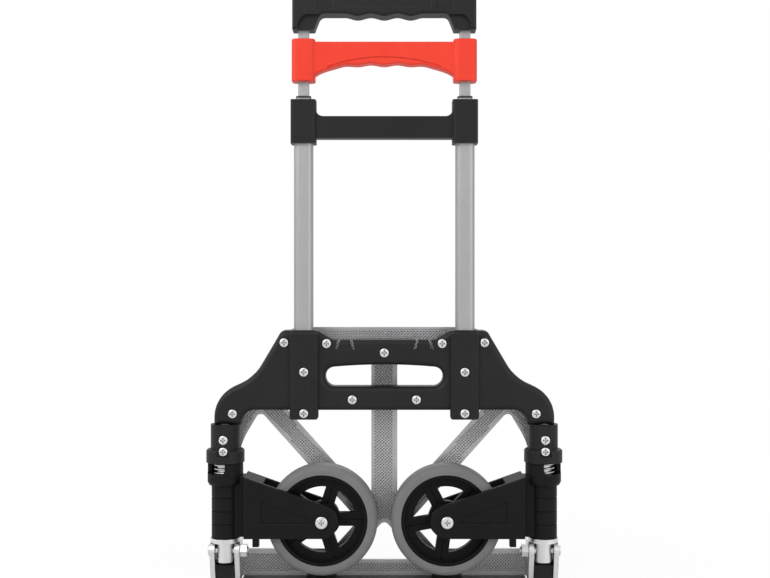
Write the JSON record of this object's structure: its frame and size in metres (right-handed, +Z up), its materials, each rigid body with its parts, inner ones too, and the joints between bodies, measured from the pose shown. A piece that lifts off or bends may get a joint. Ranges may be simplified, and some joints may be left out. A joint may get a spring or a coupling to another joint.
{
  "type": "folding hand truck",
  "caption": "Folding luggage hand truck with telescopic handle, red release grip, swing-out wheels on sprung arms and a fold-up toe plate of embossed aluminium.",
  "frame": {"origin": "on the floor, midway between the legs and in the plane of their axes, on the underside of the heel bar", "axes": "+Z up along the rails, +X across to the right as seen from behind, +Y to the load side"},
  "size_m": [0.403, 0.0515, 0.677],
  "materials": {
    "black_plastic": "moulded, satin, light grain",
    "rim_plastic": "moulded, satin",
    "red_plastic": "moulded, satin",
    "tyre_rubber": "smooth grey elastomer, matt",
    "bush_plastic": "smooth",
    "tube_aluminium": "drawn and anodised, fine grain along the tube",
    "plate_aluminium": "cast, satin, embossed mesh",
    "heel_paint": "satin black",
    "zinc_steel": "bright zinc",
    "spring_steel": "bright wire"
  },
  "bodies": {
    "frame": {"frame_rear_shell": "black_plastic", "frame_front_shell": "black_plastic", "left_rail_bush": "bush_plastic", "right_rail_bush": "bush_plastic", "left_rail_cover": "black_plastic", "right_rail_cover": "black_plastic", "left_leg_tube": "zinc_steel", "right_leg_tube": "zinc_steel", "left_leg_collar": "black_plastic", "right_leg_collar": "black_plastic", "leg_washers": "zinc_steel", "left_arm_spring": "spring_steel", "right_arm_spring": "spring_steel", "frame_screws": "zinc_steel", "short_screws": "zinc_steel"},
    "outer_stage": {"left_outer_tube": "tube_aluminium", "right_outer_tube": "tube_aluminium", "cross_bracket": "black_plastic", "left_outer_bush": "bush_plastic", "right_outer_bush": "bush_plastic"},
    "middle_stage": {"left_middle_tube": "tube_aluminium", "right_middle_tube": "tube_aluminium", "left_middle_bush": "bush_plastic", "right_middle_bush": "bush_plastic", "left_middle_glide": "bush_plastic", "right_middle_glide": "bush_plastic"},
    "inner_stage": {"left_inner_tube": "tube_aluminium", "right_inner_tube": "tube_aluminium", "handle_rear_half": "black_plastic", "handle_front_half": "black_plastic", "handle_screws": "zinc_steel", "left_lock_block": "bush_plastic", "right_lock_block": "bush_plastic", "return_springs": "spring_steel"},
    "grip": {"release_grip": "red_plastic", "left_pull_rod": "spring_steel", "right_pull_rod": "spring_steel", "grip_pins": "spring_steel"},
    "left_lock_pin": {"left_lock_pin": "spring_steel"},
    "right_lock_pin": {"right_lock_pin": "spring_steel"},
    "toe_plate": {"toe_plate": "plate_aluminium", "heel_bar": "heel_paint", "left_hinge_bracket": "zinc_steel", "right_hinge_bracket": "zinc_steel", "left_cam_block": "black_plastic", "right_cam_block": "black_plastic", "left_hinge_pin": "zinc_steel", "right_hinge_pin": "zinc_steel", "hinge_nuts": "zinc_steel", "plate_rivets": "zinc_steel"},
    "left_arm": {"left_wheel_arm": "black_plastic", "left_axle_bolt": "zinc_steel"},
    "right_arm": {"right_wheel_arm": "black_plastic", "right_axle_bolt": "zinc_steel"},
    "left_wheel": {"left_rim": "rim_plastic", "left_tyre": "tyre_rubber", "left_wheel_bearing": "bush_plastic"},
    "right_wheel": {"right_rim": "rim_plastic", "right_tyre": "tyre_rubber", "right_wheel_bearing": "bush_plastic"}
  },
  "joints": [
    {"name": "outer_tube_slide", "type": "slide", "parent": "frame", "child": "outer_stage", "axis": [0, 0, 1], "range_m": [-0.09, 0]},
    {"name": "middle_tube_slide", "type": "slide", "parent": "outer_stage", "child": "middle_stage", "axis": [0, 0, 1], "range_m": [0, 0.165]},
    {"name": "inner_tube_slide", "type": "slide", "parent": "middle_stage", "child": "inner_stage", "axis": [0, 0, 1], "range_m": [0, 0.165]},
    {"name": "grip_slide", "type": "slide", "parent": "inner_stage", "child": "grip", "axis": [0, 0, 1], "range_m": [0, 0.006], "stiffness_N_per_m": 800, "springref_m": -0.01, "deforming": ["return_springs"]},
    {"name": "left_lock_slide", "type": "slide", "parent": "inner_stage", "child": "left_lock_pin", "axis": [1, 0, 0], "range_m": [0, 0.003]},
    {"name": "right_lock_slide", "type": "slide", "parent": "inner_stage", "child": "right_lock_pin", "axis": [-1, 0, 0], "range_m": [0, 0.003]},
    {"name": "toe_plate_hinge", "type": "hinge", "parent": "frame", "child": "toe_plate", "pos_m": [0, 0, 0.038], "axis": [-1, 0, 0], "range_deg": [0, 90]},
    {"name": "left_arm_swing", "type": "hinge", "parent": "frame", "child": "left_arm", "pos_m": [-0.18, 0, 0.08], "axis": [0, 0, -1], "range_deg": [0, 90]},
    {"name": "right_arm_swing", "type": "hinge", "parent": "frame", "child": "right_arm", "pos_m": [0.18, 0, 0.08], "axis": [0, 0, 1], "range_deg": [0, 90]},
    {"name": "left_wheel_spin", "type": "hinge", "parent": "left_arm", "child": "left_wheel", "pos_m": [-0.07, 0, 0.074], "axis": [0, 1, 0], "continuous": true},
    {"name": "right_wheel_spin", "type": "hinge", "parent": "right_arm", "child": "right_wheel", "pos_m": [0.07, 0, 0.074], "axis": [0, 1, 0], "continuous": true}
  ],
  "couplings": [
    {"joint": "left_lock_slide", "follows": "grip_slide", "ratio": 0.5},
    {"joint": "right_lock_slide", "follows": "grip_slide", "ratio": 0.5},
    {"joint": "left_arm_swing", "follows": "toe_plate_hinge", "ratio": 1},
    {"joint": "right_arm_swing", "follows": "toe_plate_hinge", "ratio": 1}
  ]
}
